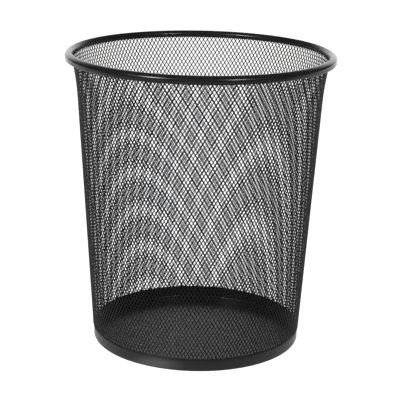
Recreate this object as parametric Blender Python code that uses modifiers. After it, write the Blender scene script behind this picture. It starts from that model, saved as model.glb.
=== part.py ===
"""Round wastebasket: a rolled steel rim tube, a tapering mesh wall and a pressed base pan.

Metres, +Z up. The origin is the centre of the base's underside, on the floor.
"""

import math

import bpy

# Driving dimensions
HEIGHT = 0.326
RIM_DIAMETER = 0.295
RIM_INNER_RADIUS = 0.1386
RIM_TOP_RADIUS = 0.1415
RIM_FOOT_Z = 0.319
RIM_RIDGE_Z = 0.3224
RIM_WIDEST_Z = 0.3208
RIM_BOTTOM_Z = 0.3172
RIM_CORNER_WIDTH = 0.0013
RIM_LIP_Z = 0.3186
RIM_SHEET = 0.0005
WALL_SHEET = 0.0005
WALL_TOP_Z = 0.3205
WALL_FLARE_TOP_Z = 0.3184
WALL_FLARE_BOTTOM_Z = 0.275
WALL_BOTTOM_RADIUS = 0.117
WALL_BOTTOM_Z = 0.0118
WALL_TAPER = 0.0634
BASE_RADIUS = 0.1161
BASE_HEIGHT = 0.0145
BASE_SHEET = 0.0007
BASE_CORNER_RADIUS = 0.0025
GAP = 0.0003

# How finely the round shapes are divided
STEPS_AROUND = 72
RIM_FLANK_SEGMENTS = 6
RIM_SHOULDER_SEGMENTS = 8
RIM_CORNER_SEGMENTS = 6
CORNER_SEGMENTS = 4
WALL_SEGMENTS = 3
FLARE_SEGMENTS = 5
MERGE_DISTANCE = 0.00005

# How full the rim's inner flank is: 1 would be a straight chamfer and 2 a quarter of an ellipse
RIM_FLANK_POWER = 1.25

# Places worked out from the driving dimensions
RIM_OUTER_RADIUS = RIM_DIAMETER / 2
WALL_TOP_RADIUS = RIM_INNER_RADIUS + RIM_SHEET + GAP + WALL_SHEET
RIM_LIP_RADIUS = WALL_TOP_RADIUS + GAP

COATING = (0.018, 0.018, 0.019, 1.0)


def clear_scene():
    for item in list(bpy.data.objects):
        bpy.data.objects.remove(item)


def make_collection(name):
    collection = bpy.data.collections.new(name)
    bpy.context.scene.collection.children.link(collection)
    return collection


def coated_steel(name, roughness):
    """Black powder-coated steel."""
    material = bpy.data.materials.new(name)
    material.use_nodes = True
    shader = material.node_tree.nodes["Principled BSDF"]
    shader.inputs["Base Color"].default_value = COATING
    shader.inputs["Roughness"].default_value = roughness
    shader.inputs["Metallic"].default_value = 0.0
    material.diffuse_color = COATING
    return material


def arc(centre, radius, start, end, segments):
    """Points (r, z) along an arc whose angles are in degrees, from start to end."""
    points = []
    for i in range(segments + 1):
        angle = math.radians(start + (end - start) * i / segments)
        points.append((centre[0] + radius * math.cos(angle), centre[1] + radius * math.sin(angle)))
    return points


def turned_shell(name, profile, thickness, material, collection):
    """A sheet-metal shell: an open profile of (r, z) points turned about Z and given a thickness.

    The profile is the shell's outer face, and runs down the shape's outer side.
    """
    mesh = bpy.data.meshes.new(name)
    vertices = [(r, 0.0, z) for r, z in profile]
    edges = [(i, i + 1) for i in range(len(profile) - 1)]
    mesh.from_pydata(vertices, edges, [])
    mesh.materials.append(material)
    shell = bpy.data.objects.new(name, mesh)
    collection.objects.link(shell)

    turn = shell.modifiers.new("Turn", "SCREW")
    turn.axis = "Z"
    turn.angle = math.tau
    turn.steps = STEPS_AROUND
    turn.render_steps = STEPS_AROUND
    turn.use_merge_vertices = True
    turn.merge_threshold = MERGE_DISTANCE
    turn.use_smooth_shade = True

    sheet = shell.modifiers.new("Sheet", "SOLIDIFY")
    sheet.thickness = thickness
    sheet.offset = -1.0
    sheet.use_even_offset = True
    return shell


def rounding(start, end, segments, power):
    """Points (r, z) of a quarter round that leaves start upright and reaches end level.

    Power 1 makes it a straight chamfer and power 2 a quarter of an ellipse.
    """
    points = []
    for i in range(segments + 1):
        turn = 0.5 * math.pi * i / segments
        outward = 1 - math.cos(turn) ** (2 / power)
        upward = math.sin(turn) ** (2 / power)
        radius = start[0] + (end[0] - start[0]) * outward
        points.append((radius, start[1] + (end[1] - start[1]) * upward))
    return points


def rim_profile():
    """The rolled tube's outer face.

    A skirt stands inside the wall, up to a ridge. A flank goes on to the top, a shoulder down to the
    widest place, and a corner to the bottom. The underside rises inward to a lip outside the wall.
    The wall's top edge stands in the slot between skirt and lip.
    """
    ridge = (RIM_INNER_RADIUS, RIM_RIDGE_Z)
    top = (RIM_TOP_RADIUS, HEIGHT)
    widest = (RIM_OUTER_RADIUS, RIM_WIDEST_Z)
    bottom = (RIM_OUTER_RADIUS - RIM_CORNER_WIDTH, RIM_BOTTOM_Z)
    flank = rounding(ridge, top, RIM_FLANK_SEGMENTS, RIM_FLANK_POWER)
    shoulder = rounding(widest, top, RIM_SHOULDER_SEGMENTS, 2)[-2::-1]
    corner = rounding(widest, bottom, RIM_CORNER_SEGMENTS, 2)[1:]
    return [(RIM_INNER_RADIUS, RIM_FOOT_Z)] + flank + shoulder + corner + [(RIM_LIP_RADIUS, RIM_LIP_Z)]


def taper_radius(height):
    """The wall's outer radius along its straight taper."""
    return WALL_BOTTOM_RADIUS + WALL_TAPER * (height - WALL_BOTTOM_Z)


def wall_profile():
    """The mesh wall's outer face: upright in the rim's slot, flared below it, then a straight taper."""
    flare_height = WALL_FLARE_TOP_Z - WALL_FLARE_BOTTOM_Z
    flare_depth = WALL_TOP_RADIUS - taper_radius(WALL_FLARE_TOP_Z)
    points = [(WALL_TOP_RADIUS, WALL_TOP_Z)]
    for i in range(FLARE_SEGMENTS):
        share = 1 - i / FLARE_SEGMENTS
        height = WALL_FLARE_BOTTOM_Z + flare_height * share
        points.append((taper_radius(height) + flare_depth * share * share, height))
    for i in range(WALL_SEGMENTS + 1):
        height = WALL_FLARE_BOTTOM_Z + (WALL_BOTTOM_Z - WALL_FLARE_BOTTOM_Z) * i / WALL_SEGMENTS
        points.append((taper_radius(height), height))
    return points


def base_profile():
    """The pan's outer face: an upright band, a rounded corner and a flat floor to the centre."""
    corner_centre = (BASE_RADIUS - BASE_CORNER_RADIUS, BASE_CORNER_RADIUS)
    corner = arc(corner_centre, BASE_CORNER_RADIUS, 0.0, -90.0, CORNER_SEGMENTS)
    return [(BASE_RADIUS, BASE_HEIGHT)] + corner + [(0.0, 0.0)]


def main():
    clear_scene()
    basket = make_collection("wastebasket")
    turned_shell(
        "rim_tube", rim_profile(), RIM_SHEET, coated_steel("rim_coating", 0.32), basket
    )
    turned_shell(
        "mesh_wall", wall_profile(), WALL_SHEET, coated_steel("mesh_coating", 0.42), basket
    )
    turned_shell(
        "base_pan", base_profile(), BASE_SHEET, coated_steel("base_coating", 0.38), basket
    )


main()
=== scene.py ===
"""The looks of a round mesh wastebasket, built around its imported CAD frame. Metres, +Z up."""

import math

import bpy
import numpy as np
from mathutils import Matrix, Vector


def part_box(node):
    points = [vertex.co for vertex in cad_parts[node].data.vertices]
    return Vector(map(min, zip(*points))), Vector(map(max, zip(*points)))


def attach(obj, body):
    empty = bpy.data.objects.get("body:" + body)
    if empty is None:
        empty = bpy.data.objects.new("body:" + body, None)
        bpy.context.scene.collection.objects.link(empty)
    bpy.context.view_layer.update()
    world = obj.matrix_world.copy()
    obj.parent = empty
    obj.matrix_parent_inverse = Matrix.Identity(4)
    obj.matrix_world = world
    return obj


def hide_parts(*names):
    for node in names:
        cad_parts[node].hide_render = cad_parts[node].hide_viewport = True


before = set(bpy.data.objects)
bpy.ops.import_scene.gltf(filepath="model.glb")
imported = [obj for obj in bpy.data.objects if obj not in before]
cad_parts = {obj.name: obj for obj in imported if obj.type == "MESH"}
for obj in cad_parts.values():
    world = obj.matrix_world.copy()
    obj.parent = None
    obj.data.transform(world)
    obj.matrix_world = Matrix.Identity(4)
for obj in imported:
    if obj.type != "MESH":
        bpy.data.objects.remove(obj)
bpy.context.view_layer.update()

# Expanded-metal wall
CELLS_AROUND = 182
ROW_HEIGHT = 0.00722
ROW_STRETCH = -0.0477  # share that the row count changes by, per metre above STRETCH_MIDDLE
STRETCH_MIDDLE = 0.160
TWIST = 0.107  # radians that a column of openings turns, per metre of height
STRAND_WIDTH = 0.00094
STRAND_THICKNESS = 0.00044
STRAND_LEAN = 0.00006  # how far an opening's two ends stand off the middle of the sheet
BOND_CUT = 0.12  # share of an opening's half width that a bond cuts off its pointed side
SHEET_MIDDLE = STRAND_THICKNESS / 2 + STRAND_LEAN
ROW_PHASE = 0.42  # rows that the lattice is raised by
BOND_ROOM = 0.25  # half rows that a bond needs inside the wall's top and bottom edges
LATTICE_MARGIN = 0.01  # how far past the wall's ends its rows are worked out
LATTICE_SAMPLES = 800

# The wall is split into sectors by column. A face's column is its cell's, give or take one of these.
WALL_SECTORS = 3
STRAND_SIDE = 0.1
BOND_SIDE = 0.25

# Lap seam of the wall, on the +X side: the sheet's end runs on inside its start, spot-welded to it
LAP_CELLS = 4
LAP_START_ROOM = 1.25  # half rows from the pan's top to the lap's first bonds
LAP_END_ROOM = 1.0  # half rows from the lap's last bonds to the rim
LAP_SHIFT = 0.35  # cells that the inner layer is out of step by
LAP_GAP = 0.00004
WELD_RADIUS = 0.0015
WELD_PROUD = 0.00012
WELD_PITCH = 0.042
WELD_SEGMENTS = 16
WELD_RINGS = 6

# Turned pieces
AXIS_RADIUS = 1e-9  # a section's points closer to the axis than this are one vertex

# Rolled rim tube
RIM_STEPS = 288
RIM_FLANK_POINTS = 16
RIM_SHOULDER_POINTS = 18
RIM_CORNER_POINTS = 14
RIM_INNER_RADIUS = 0.1386
RIM_TOP_RADIUS = 0.1415
RIM_FOOT_Z = 0.319
RIM_RIDGE_Z = 0.3224
RIM_WIDEST_Z = 0.3208
RIM_CORNER_WIDTH = 0.0013
RIM_LIP_Z = 0.3186
RIM_FLANK_POWER = 1.25  # 1 would be a straight chamfer and 2 a quarter of an ellipse
RIM_SHEET = 0.0005
RIM_SLOT_GAP = 0.0003
RIM_EDGE_ROUNDING = 0.7  # how far out the corners of the sheet's edges sit, in half sheets
RIM_BEAD = 0.00015  # how proud the ground-down weld of the tube's ends stands, on the +X side
RIM_BEAD_WIDTH = 0.0022
RIM_BEAD_STEPS = 16

# Base pan
PAN_STEPS = 240
PAN_SHEET = 0.0007
PAN_CORNER_RADIUS = 0.0025
PAN_CORNER_POINTS = 9
PAN_LIP_POINTS = 6
PAN_FLOOR_RINGS = 6

# Powder coats. Shades are linear reflectances, and a grain is the orange peel's size and depth.
RIM_COAT = {
    "shade_level": 0.012,
    "roughness": 0.26,
    "specular": 0.45,
    "grain_size": 0.0011,
    "grain_depth": 0.000012,
}
MESH_COAT = {
    "shade_level": 0.009,
    "roughness": 0.42,
    "specular": 0.18,
    "grain_size": 0.0005,
    "grain_depth": 0.00001,
}
PAN_COAT = {
    "shade_level": 0.009,
    "roughness": 0.3,
    "specular": 0.5,
    "grain_size": 0.0011,
    "grain_depth": 0.000012,
}
COAT_IOR = 1.5
DARK_SHADE = (0.7, 0.7, 0.73)  # the shade's drift, as shares of a coat's level
LIGHT_SHADE = (1.3, 1.3, 1.35)
SHADE_NOISE = (55.0, 4.0)  # scale, per metre, and detail
SHEEN_NOISE = (240.0, 3.0)
GRAIN_DETAIL = 2.0
SHEEN_DRIFT = 0.04  # how far the roughness drifts either way
NOISE_LOW = 0.3  # the range that most of a noise texture's values lie in
NOISE_HIGH = 0.7

# Camera, as fitted to the rim, the wall and the base
CAMERA_BACK = 1.44903
CAMERA_HEIGHT = 0.57622
CAMERA_PITCH = 0.28110
CAMERA_YAW = 0.00148
CAMERA_ROLL = 0.0209
CAMERA_LENS = 121.36
CAMERA_SENSOR = 36.0

# Studio floor. It is white to the camera, and gives the basket a light that rises from front to back.
FLOOR_SIZE = 40.0
FLOOR_DROP = 0.0002  # keeps the floor clear of the pan's underside
FLOOR_SHADE = (0.5, 0.5, 0.5, 1.0)
FLOOR_ROUGHNESS = 0.9
FLOOR_SPECULAR = 0.1
FRONT_FLOOR_LIGHT = 0.12
NEAR_FLOOR_LIGHT = 0.55
NEAR_FLOOR_Y = (-0.25, 0.0)  # where the front light turns into the near one
BACK_FLOOR_Y = (0.8, 2.0)  # where the near light turns into the back one
PAINTED_POOL_PLACE = (-0.055, -0.13, 0.0)  # a painted pool of light: the floor glows brighter in a soft patch at the basket's foot, where the left lamp would light it
PAINTED_POOL_RADIUS = 0.05
PAINTED_POOL_LIGHT = 1.8

# Studio backdrop, in directions from the basket: a bright low panel behind it, in a dim room
BACKGROUND_LEVEL = 1.0  # what the camera sees of the floor and the backdrop
BACK_LIGHT = 1.7
ROOM_LIGHT = 0.1
PANEL_SIDE = (0.40, 0.68)  # the panel fades out to either side over this span of X
PANEL_BACK = (0.2, 0.6)  # and it fades in over this span of Y
PANEL_TOP = (0.30, 0.58)  # and out again over this span of Z

# Softboxes
LAMP_TARGET = (0.0, 0.0, 0.3)
LEFT_LAMP_PLACE = (-1.38, -1.47, 1.72)
LEFT_LAMP_SIZE = 0.34
LEFT_LAMP_POWER = 28.0
RIGHT_LAMP_PLACE = (1.12, -1.71, 1.72)
RIGHT_LAMP_SIZE = 0.29
RIGHT_LAMP_POWER = 15.0

# Which inputs of a Mix node hold its two values, and which output its result
MIX_SOCKETS = {"FLOAT": (2, 3, 0), "RGBA": (6, 7, 2)}


def wall_rings():
    """The CAD wall's outer face as (heights, radii), from the bottom up."""
    rings = {}
    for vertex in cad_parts["mesh_wall"].data.vertices:
        x, y, z = vertex.co
        level = round(z, 3)
        radius = math.hypot(x, y)
        if level not in rings or radius > rings[level][1]:
            rings[level] = (z, radius)
    ordered = [rings[level] for level in sorted(rings)]
    return np.array([r[0] for r in ordered]), np.array([r[1] for r in ordered])


def mesh_object(name, vertices, faces, material):
    """A smooth-shaded mesh piece that rides on the root body."""
    mesh = bpy.data.meshes.new(name)
    mesh.from_pydata(vertices, [], faces)
    mesh.polygons.foreach_set("use_smooth", np.ones(len(mesh.polygons), dtype=bool))
    mesh.materials.append(material)
    mesh.update()
    piece = bpy.data.objects.new(name, mesh)
    bpy.context.scene.collection.objects.link(piece)
    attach(piece, "root")
    return piece


# ---------------------------------------------------------------- mesh wall
# Corners of an opening, in the order that they are numbered round it
CORNERS = 6
TOP, RIGHT_UPPER, RIGHT_LOWER, BOTTOM, LEFT_LOWER, LEFT_UPPER = range(CORNERS)


def row_number(z):
    """How many rows of openings lie below a height."""
    return z / ROW_HEIGHT * (1 + ROW_STRETCH * (z - STRETCH_MIDDLE))


def row_heights(rows, rings):
    """The heights of lattice rows."""
    heights = rings[0]
    fine = np.linspace(heights[0] - LATTICE_MARGIN, heights[-1] + LATTICE_MARGIN, LATTICE_SAMPLES)
    return np.interp(rows, row_number(fine), fine)


def lattice_points(columns, rows, rings, outward):
    """Points of the wall's sheet at lattice places, and outward metres off the middle of the sheet."""
    heights, radii = rings
    z = np.clip(row_heights(rows, rings), heights[0], heights[-1])
    angle = columns * (2 * math.pi / CELLS_AROUND) + TWIST * z
    radius = np.interp(z, heights, radii) - SHEET_MIDDLE + outward
    return np.stack([radius * np.cos(angle), radius * np.sin(angle), z], axis=-1)


def opening_corners(row_numbers, rings):
    """Six corners (column offset, row offset, lean) of the openings in each row."""
    heights, radii = rings
    width = 2 * math.pi * np.interp(row_heights(row_numbers, rings), heights, radii) / CELLS_AROUND
    height = np.full_like(width, ROW_HEIGHT)
    to_side = (width / 2) * (height / 2) / np.hypot(width / 2, height / 2)
    share = 1 - STRAND_WIDTH / 2 / to_side
    across = 0.5 * share * (1 - BOND_CUT)
    flat = 0.5 * share * BOND_CUT
    along = 0.5 * share
    zero = np.zeros_like(width)
    columns = np.stack([zero, across, across, zero, -across, -across], axis=-1)
    rows = np.stack([along, flat, -flat, -along, -flat, flat], axis=-1)
    lean = STRAND_LEAN * np.array([-1, -1, 1, 1, 1, -1])
    return columns, rows, lean


def expanded_metal(half_rows, columns, rings, offset=0.0, shift=0.0):
    """Both faces of a sheet of expanded metal, between (first, last) half rows and columns.

    Returns the outer and inner faces' vertices, the outer face's quads and the column of each quad.
    A sheet of CELLS_AROUND columns closes on itself.
    """
    first_row, last_row = half_rows
    first_column, last_column = columns
    n_columns = last_column - first_column
    closed = n_columns == CELLS_AROUND
    row_range = np.arange(first_row - 1, last_row + 2)
    corner_columns, corner_rows, lean = opening_corners(row_range / 2 + ROW_PHASE, rings)
    openings = np.arange(n_columns if closed else n_columns + 1)
    count = len(openings)
    odd = (row_range % 2)[:, None, None]
    across = first_column + openings[None, :, None] + 0.5 + odd / 2 + corner_columns[:, None, :] + shift
    upward = row_range[:, None, None] / 2 + ROW_PHASE + corner_rows[:, None, :] + 0 * across
    lean = np.broadcast_to(lean, across.shape)
    half = STRAND_THICKNESS / 2
    outer = lattice_points(across, upward, rings, lean + half + offset)
    inner = lattice_points(across, upward, rings, lean - half + offset)

    def corner(row, column, which):
        column = column % count if closed else column
        return ((row - first_row + 1) * count + column) * CORNERS + which

    quads = []
    places = []
    k = np.arange(0 if closed else 1, n_columns)
    for m in range(first_row, last_row + 1):
        odd = m % 2
        above = k - 1 + odd
        bottom_tip = corner(m - 1, above, TOP)
        top_tip = corner(m + 1, above, BOTTOM)
        right_upper = corner(m, k, LEFT_UPPER)
        right_lower = corner(m, k, LEFT_LOWER)
        left_upper = corner(m, k - 1, RIGHT_UPPER)
        left_lower = corner(m, k - 1, RIGHT_LOWER)
        place = first_column + k + odd / 2
        quads.append(np.stack([bottom_tip, right_lower, right_upper, top_tip], axis=-1))
        places.append(place + STRAND_SIDE)
        quads.append(np.stack([bottom_tip, top_tip, left_upper, left_lower], axis=-1))
        places.append(place - STRAND_SIDE)
        if m < last_row:
            right_top = corner(m, k, TOP)
            left_top = corner(m, k - 1, TOP)
            above_right = corner(m + 1, above, RIGHT_LOWER)
            above_left = corner(m + 1, above, LEFT_LOWER)
            quads.append(np.stack([right_upper, right_top, above_right, top_tip], axis=-1))
            places.append(place + BOND_SIDE)
            quads.append(np.stack([left_upper, top_tip, above_left, left_top], axis=-1))
            places.append(place - BOND_SIDE)
    return outer.reshape(-1, 3), inner.reshape(-1, 3), np.concatenate(quads), np.concatenate(places)


def thick_sheet(outer, inner, quads):
    """A closed body from the quads of a sheet's outer face: both faces, and walls round every edge."""
    n = len(outer)
    edges = np.concatenate([quads[:, [i, (i + 1) % 4]] for i in range(4)])
    key = edges[:, 0] * n + edges[:, 1]
    twin = edges[:, 1] * n + edges[:, 0]
    rim = edges[~np.isin(key, twin)]
    walls = np.stack([rim[:, 1], rim[:, 0], rim[:, 0] + n, rim[:, 1] + n], axis=-1)
    faces = np.concatenate([quads, quads[:, ::-1] + n, walls])
    used, faces = np.unique(faces, return_inverse=True)
    vertices = np.concatenate([outer, inner])[used]
    return vertices, faces.reshape(-1, 4)


def half_row_number(z):
    """How many half rows of the raised lattice lie below a height."""
    return 2 * (row_number(z) - ROW_PHASE)


def build_wall(material):
    """The wall, in sectors cut between openings."""
    rings = wall_rings()
    first = math.ceil(half_row_number(rings[0][0]) + BOND_ROOM)
    last = math.floor(half_row_number(rings[0][-1]) - BOND_ROOM)
    outer, inner, quads, places = expanded_metal((first, last), (0, CELLS_AROUND), rings)
    sector = np.floor(places % CELLS_AROUND / CELLS_AROUND * WALL_SECTORS).astype(int)
    pieces = []
    for i in range(WALL_SECTORS):
        vertices, faces = thick_sheet(outer, inner, quads[sector == i])
        piece = mesh_object(f"mesh_wall_{i + 1}", vertices.tolist(), faces.tolist(), material)
        pieces.append(piece)
    return pieces


def build_lap(material):
    """The strip of sheet that runs on behind the wall at its seam, from above the pan to below the rim."""
    first = math.ceil(half_row_number(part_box("base_pan")[1].z) + LAP_START_ROOM)
    last = math.floor(half_row_number(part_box("rim_tube")[0].z) - LAP_END_ROOM)
    start = -(LAP_CELLS // 2) - 1
    columns = (start, start + LAP_CELLS + 1)
    inward = 2 * SHEET_MIDDLE + LAP_GAP
    outer, inner, quads, _ = expanded_metal((first, last), columns, wall_rings(), -inward, LAP_SHIFT)
    vertices, faces = thick_sheet(outer, inner, quads)
    return mesh_object("mesh_lap", vertices.tolist(), faces.tolist(), material)


def weld_spot(centre, outward, half_height):
    """Vertices and faces of one spot weld: a lens across both layers of the lap."""
    across = Vector((0.0, 0.0, 1.0)).cross(outward).normalized()
    up = outward.cross(across)
    vertices = [centre + outward * half_height]
    for ring in range(1, WELD_RINGS):
        tilt = math.pi * ring / WELD_RINGS
        for j in range(WELD_SEGMENTS):
            turn = 2 * math.pi * j / WELD_SEGMENTS
            flat = WELD_RADIUS * math.sin(tilt)
            side = across * (flat * math.cos(turn)) + up * (flat * math.sin(turn))
            vertices.append(centre + side + outward * (half_height * math.cos(tilt)))
    vertices.append(centre - outward * half_height)
    faces = []
    final = len(vertices) - 1
    for j in range(WELD_SEGMENTS):
        k = (j + 1) % WELD_SEGMENTS
        faces.append((0, 1 + j, 1 + k))
        for ring in range(WELD_RINGS - 2):
            row = 1 + ring * WELD_SEGMENTS
            faces.append((row + j, row + WELD_SEGMENTS + j, row + WELD_SEGMENTS + k, row + k))
        row = 1 + (WELD_RINGS - 2) * WELD_SEGMENTS
        faces.append((final, row + k, row + j))
    return vertices, faces


def build_welds(material):
    """Spot welds down the lap, each on a bond of the wall's lattice."""
    rings = wall_rings()
    vertices = []
    faces = []
    rim_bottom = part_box("rim_tube")[0].z
    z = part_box("base_pan")[1].z + WELD_PITCH / 2
    while z < rim_bottom:
        half_row = round(half_row_number(z))
        odd = half_row % 2 / 2
        column = round(-TWIST * z * CELLS_AROUND / (2 * math.pi) - odd) + odd
        row = half_row / 2 + ROW_PHASE
        spot = lattice_points(np.array(column), np.array(row), rings, -SHEET_MIDDLE)
        centre = Vector(spot.tolist())
        outward = Vector((centre.x, centre.y, 0.0)).normalized()
        more, quads = weld_spot(centre, outward, 2 * SHEET_MIDDLE + WELD_PROUD)
        faces += [tuple(i + len(vertices) for i in face) for face in quads]
        vertices += more
        z += WELD_PITCH
    return mesh_object("lap_welds", vertices, faces, material)


# ---------------------------------------------------------------- turned pieces
def turned(name, section, angles, material):
    """A closed section of (radius, height) points, given at each angle, swept round Z."""
    steps = len(angles)
    sections = [section(angle) for angle in angles]
    count = len(sections[0])
    vertices = []
    index = []
    for i in range(count):
        r, z = sections[0][i]
        if r < AXIS_RADIUS:
            index.append([len(vertices)] * steps)
            vertices.append((0.0, 0.0, z))
            continue
        index.append(list(range(len(vertices), len(vertices) + steps)))
        for angle, outline in zip(angles, sections):
            r, z = outline[i]
            vertices.append((r * math.cos(angle), r * math.sin(angle), z))
    faces = []
    for i in range(count):
        here = index[i]
        after = index[(i + 1) % count]
        if here[0] == here[1] and after[0] == after[1]:
            continue
        for j in range(steps):
            k = (j + 1) % steps
            corners = [here[j], after[j], after[k], here[k]]
            faces.append(tuple(dict.fromkeys(corners)))
    return mesh_object(name, vertices, faces, material)


def rounding(start, end, count, power):
    """Points (r, z) of a quarter round that leaves start upright and reaches end level."""
    turns = np.linspace(0.0, 0.5 * math.pi, count)
    outward = 1 - np.cos(turns) ** (2 / power)
    upward = np.sin(turns) ** (2 / power)
    radii = start[0] + (end[0] - start[0]) * outward
    heights = start[1] + (end[1] - start[1]) * upward
    return list(zip(radii.tolist(), heights.tolist()))


def rim_face(depth, outer_radius, top_z, bottom_z, lip_radius):
    """The rim's section this deep below its outer face, from the skirt's foot over the top to the lip."""
    ridge = (RIM_INNER_RADIUS + depth, RIM_RIDGE_Z)
    top = (RIM_TOP_RADIUS, top_z - depth)
    widest = (outer_radius - depth, RIM_WIDEST_Z)
    bottom = (outer_radius - RIM_CORNER_WIDTH, bottom_z + depth)
    flank = rounding(ridge, top, RIM_FLANK_POINTS, RIM_FLANK_POWER)
    shoulder = rounding(widest, top, RIM_SHOULDER_POINTS, 2)[-2::-1]
    corner = rounding(widest, bottom, RIM_CORNER_POINTS, 2)[1:]
    return [(ridge[0], RIM_FOOT_Z)] + flank + shoulder + corner + [(lip_radius, RIM_LIP_Z + depth)]


def rim_section(angle, outer_radius, top_z, bottom_z, lip_radius):
    """The rim's sheet: a skirt inside the wall, a hollow roll above it, and a lip outside the wall.

    It swells a little at the weld of the tube's two ends.
    """
    from_weld = math.remainder(angle, 2 * math.pi) * outer_radius / (RIM_BEAD_WIDTH / 2)
    bead = RIM_BEAD * math.exp(-from_weld * from_weld)
    outer = rim_face(-bead, outer_radius, top_z, bottom_z, lip_radius)
    inner = rim_face(RIM_SHEET, outer_radius, top_z, bottom_z, lip_radius)[::-1]
    half = RIM_SHEET / 2
    foot_radius, foot_z = inner[-1]
    turns = (-RIM_EDGE_ROUNDING, 0.0, RIM_EDGE_ROUNDING)
    round_foot = [(foot_radius - half * (1 + t), foot_z - half * (1 - t * t)) for t in turns]
    round_lip = [(lip_radius - half * RIM_EDGE_ROUNDING, inner[0][1] - half)]
    return outer + round_lip + inner + round_foot


def build_rim(material):
    low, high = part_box("rim_tube")
    lip_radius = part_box("mesh_wall")[1].x + RIM_SLOT_GAP
    step = 2 * math.pi / RIM_STEPS
    angles = np.linspace(-step, step, RIM_BEAD_STEPS + 1).tolist()
    angles += [step * i for i in range(2, RIM_STEPS - 1)]

    def section(angle):
        return rim_section(angle, high.x, high.z, low.z, lip_radius)

    return turned("rim_roll", section, angles, material)


def arc(centre, radius, start, end, count):
    """Points (r, z) along an arc whose angles are in radians, from start to end."""
    angles = [start + (end - start) * i / (count - 1) for i in range(count)]
    return [(centre[0] + radius * math.cos(a), centre[1] + radius * math.sin(a)) for a in angles]


def pan_outline():
    """The base pan's section: an upright band with a rounded lip, a rounded corner and a flat floor."""
    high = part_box("base_pan")[1]
    corner = (high.x - PAN_CORNER_RADIUS, PAN_CORNER_RADIUS)
    inner_radius = PAN_CORNER_RADIUS - PAN_SHEET
    quarter = math.pi / 2
    lip = PAN_SHEET / 2
    floor_radii = [corner[0] * (1 - i / PAN_FLOOR_RINGS) for i in range(1, PAN_FLOOR_RINGS + 1)]
    points = arc(corner, PAN_CORNER_RADIUS, 0.0, -quarter, PAN_CORNER_POINTS)
    points += [(r, 0.0) for r in floor_radii]
    points += [(r, PAN_SHEET) for r in floor_radii[::-1]]
    points += arc(corner, inner_radius, -quarter, 0.0, PAN_CORNER_POINTS)
    points += arc((high.x - lip, high.z - lip), lip, math.pi, 0.0, PAN_LIP_POINTS)
    return points


def build_pan(material):
    angles = [2 * math.pi * i / PAN_STEPS for i in range(PAN_STEPS)]
    outline = pan_outline()
    return turned("base_tray", lambda angle: outline, angles, material)


# ---------------------------------------------------------------- shader nodes
def connect(tree, value, socket):
    """Link another node's output to a socket, or set the socket to a plain value."""
    if isinstance(value, bpy.types.NodeSocket):
        tree.links.new(value, socket)
    else:
        socket.default_value = value


def ramp(tree, value, span, low, high, interpolation="SMOOTHSTEP"):
    """A level that goes from low to high as a value crosses a (start, end) span."""
    node = tree.nodes.new("ShaderNodeMapRange")
    node.interpolation_type = interpolation
    node.inputs["From Min"].default_value = span[0]
    node.inputs["From Max"].default_value = span[1]
    node.inputs["To Min"].default_value = low
    node.inputs["To Max"].default_value = high
    tree.links.new(value, node.inputs["Value"])
    return node.outputs["Result"]


def arithmetic(tree, operation, *values):
    node = tree.nodes.new("ShaderNodeMath")
    node.operation = operation
    for socket, value in zip(node.inputs, values):
        connect(tree, value, socket)
    return node.outputs["Value"]


def mix(tree, data_type, share, first, second):
    """A blend of two numbers or colours: first at a share of 0, second at 1."""
    first_input, second_input, result = MIX_SOCKETS[data_type]
    node = tree.nodes.new("ShaderNodeMix")
    node.data_type = data_type
    tree.links.new(share, node.inputs[0])
    connect(tree, first, node.inputs[first_input])
    connect(tree, second, node.inputs[second_input])
    return node.outputs[result]


def white_to_camera(tree, level):
    """A light level for every ray but the camera's own, which sees plain white."""
    rays = tree.nodes.new("ShaderNodeLightPath")
    return mix(tree, "FLOAT", rays.outputs["Is Camera Ray"], level, BACKGROUND_LEVEL)


def axes(tree, coordinates):
    """The X, Y and Z outputs of texture coordinates of a kind."""
    place = tree.nodes.new("ShaderNodeTexCoord")
    split = tree.nodes.new("ShaderNodeSeparateXYZ")
    tree.links.new(place.outputs[coordinates], split.inputs["Vector"])
    return split.outputs["X"], split.outputs["Y"], split.outputs["Z"]


# ---------------------------------------------------------------- materials
def powder_coat(name, shade_level, roughness, specular, grain_size, grain_depth):
    """Satin black powder coat: a fine orange peel, and a slight drift of shade and sheen."""
    material = bpy.data.materials.new(name)
    material.use_nodes = True
    tree = material.node_tree
    shader = tree.nodes["Principled BSDF"]
    shader.inputs["Metallic"].default_value = 0.0
    shader.inputs["IOR"].default_value = COAT_IOR
    shader.inputs["Specular IOR Level"].default_value = specular
    place = tree.nodes.new("ShaderNodeTexCoord")

    def noise(scale, detail):
        texture = tree.nodes.new("ShaderNodeTexNoise")
        texture.inputs["Scale"].default_value = scale
        texture.inputs["Detail"].default_value = detail
        tree.links.new(place.outputs["Object"], texture.inputs["Vector"])
        return texture.outputs["Fac"]

    def spread(value, low, high):
        return ramp(tree, value, (NOISE_LOW, NOISE_HIGH), low, high, "LINEAR")

    dark = tuple(share * shade_level for share in DARK_SHADE) + (1.0,)
    light = tuple(share * shade_level for share in LIGHT_SHADE) + (1.0,)
    shade = mix(tree, "RGBA", spread(noise(*SHADE_NOISE), 0.0, 1.0), dark, light)
    tree.links.new(shade, shader.inputs["Base Color"])
    sheen = spread(noise(*SHEEN_NOISE), roughness - SHEEN_DRIFT, roughness + SHEEN_DRIFT)
    tree.links.new(sheen, shader.inputs["Roughness"])
    bump = tree.nodes.new("ShaderNodeBump")
    bump.inputs["Strength"].default_value = 1.0
    bump.inputs["Distance"].default_value = grain_depth
    tree.links.new(noise(1.0 / grain_size, GRAIN_DETAIL), bump.inputs["Height"])
    tree.links.new(bump.outputs["Normal"], shader.inputs["Normal"])
    return material


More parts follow.
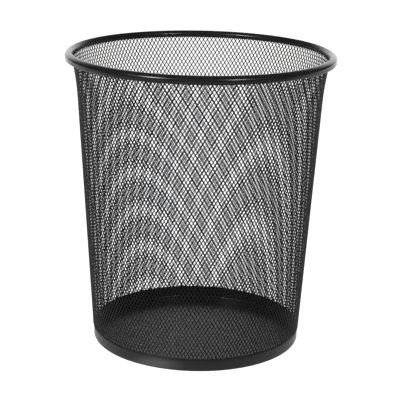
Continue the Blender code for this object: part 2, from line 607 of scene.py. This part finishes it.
# ---------------------------------------------------------------- studio
def floor_material():
    """White to the camera, and to the basket a light that rises to the back, with a painted pool of light
    at its foot.
    """
    material = bpy.data.materials.new("pale_floor")
    material.use_nodes = True
    tree = material.node_tree
    shader = tree.nodes["Principled BSDF"]
    shader.inputs["Base Color"].default_value = FLOOR_SHADE
    shader.inputs["Roughness"].default_value = FLOOR_ROUGHNESS
    shader.inputs["Specular IOR Level"].default_value = FLOOR_SPECULAR
    shader.inputs["Emission Color"].default_value = (1.0, 1.0, 1.0, 1.0)
    front_to_back = axes(tree, "Object")[1]
    near = ramp(tree, front_to_back, NEAR_FLOOR_Y, FRONT_FLOOR_LIGHT, NEAR_FLOOR_LIGHT)
    back = ramp(tree, front_to_back, BACK_FLOOR_Y, 0.0, BACK_LIGHT - NEAR_FLOOR_LIGHT)
    place = tree.nodes.new("ShaderNodeTexCoord")
    reach = tree.nodes.new("ShaderNodeVectorMath")
    reach.operation = "DISTANCE"
    tree.links.new(place.outputs["Object"], reach.inputs[0])
    reach.inputs[1].default_value = PAINTED_POOL_PLACE
    # painted pool of light: the floor's glow is raised in a soft patch at the basket's foot
    painted_pool = ramp(tree, reach.outputs["Value"], (0.0, PAINTED_POOL_RADIUS), PAINTED_POOL_LIGHT, 0.0)
    level = arithmetic(tree, "ADD", arithmetic(tree, "ADD", near, back), painted_pool)
    tree.links.new(white_to_camera(tree, level), shader.inputs["Emission Strength"])
    return material


def build_floor():
    half = FLOOR_SIZE / 2
    mesh = bpy.data.meshes.new("floor")
    corners = [(-half, -half, 0.0), (half, -half, 0.0), (half, half, 0.0), (-half, half, 0.0)]
    mesh.from_pydata(corners, [], [(0, 1, 2, 3)])
    mesh.materials.append(floor_material())
    floor = bpy.data.objects.new("floor", mesh)
    floor.location.z = -FLOOR_DROP
    bpy.context.scene.collection.objects.link(floor)


def build_world():
    """A white backdrop low behind the basket, in a dim room."""
    world = bpy.data.worlds.new("studio")
    bpy.context.scene.world = world
    world.use_nodes = True
    tree = world.node_tree
    background = tree.nodes["Background"]
    x, y, z = axes(tree, "Generated")
    middle = ramp(tree, arithmetic(tree, "ABSOLUTE", x), PANEL_SIDE, 1.0, 0.0)
    behind = ramp(tree, y, PANEL_BACK, 0.0, BACK_LIGHT)
    low = ramp(tree, z, PANEL_TOP, 1.0, 0.0)
    panel = arithmetic(tree, "MULTIPLY", arithmetic(tree, "MULTIPLY", behind, low), middle)
    level = arithmetic(tree, "ADD", panel, ROOM_LIGHT)
    background.inputs["Color"].default_value = (1.0, 1.0, 1.0, 1.0)
    tree.links.new(white_to_camera(tree, level), background.inputs["Strength"])


def softbox(name, place, size, power):
    """A square area light that faces the basket."""
    lamp = bpy.data.lights.new(name, "AREA")
    lamp.shape = "SQUARE"
    lamp.size = size
    lamp.energy = power
    holder = bpy.data.objects.new(name, lamp)
    holder.location = place
    aim = Vector(LAMP_TARGET) - Vector(place)
    holder.rotation_mode = "QUATERNION"
    holder.rotation_quaternion = aim.to_track_quat("-Z", "Y")
    holder.visible_camera = False
    bpy.context.scene.collection.objects.link(holder)


def build_lights():
    softbox("softbox_left", LEFT_LAMP_PLACE, LEFT_LAMP_SIZE, LEFT_LAMP_POWER)
    softbox("softbox_right", RIGHT_LAMP_PLACE, RIGHT_LAMP_SIZE, RIGHT_LAMP_POWER)


def build_camera():
    cp, sp = math.cos(CAMERA_PITCH), math.sin(CAMERA_PITCH)
    cy, sy = math.cos(CAMERA_YAW), math.sin(CAMERA_YAW)
    ahead = Vector((sy * cp, cy * cp, -sp))
    level = Vector((cy, -sy, 0.0))
    upright = level.cross(ahead)
    right = math.cos(CAMERA_ROLL) * level + math.sin(CAMERA_ROLL) * upright
    up = math.cos(CAMERA_ROLL) * upright - math.sin(CAMERA_ROLL) * level
    data = bpy.data.cameras.new("camera")
    data.lens = CAMERA_LENS
    data.sensor_width = CAMERA_SENSOR
    camera = bpy.data.objects.new("camera", data)
    turn = Matrix((right, up, -ahead)).transposed().to_4x4()
    camera.matrix_world = Matrix.Translation((0.0, -CAMERA_BACK, CAMERA_HEIGHT)) @ turn
    bpy.context.scene.collection.objects.link(camera)
    bpy.context.scene.camera = camera


def main():
    rim_coat = powder_coat("rim_powder_coat", **RIM_COAT)
    wall_coat = powder_coat("mesh_powder_coat", **MESH_COAT)
    pan_coat = powder_coat("pan_powder_coat", **PAN_COAT)
    wall = build_wall(wall_coat) + [build_lap(wall_coat), build_welds(wall_coat)]
    for piece in wall:
        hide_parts("mesh_wall")
    rim = build_rim(rim_coat)
    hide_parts("rim_tube")
    pan = build_pan(pan_coat)
    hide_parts("base_pan")
    build_floor()
    build_world()
    build_lights()
    build_camera()
    bpy.context.scene.view_settings.view_transform = "Standard"


main()
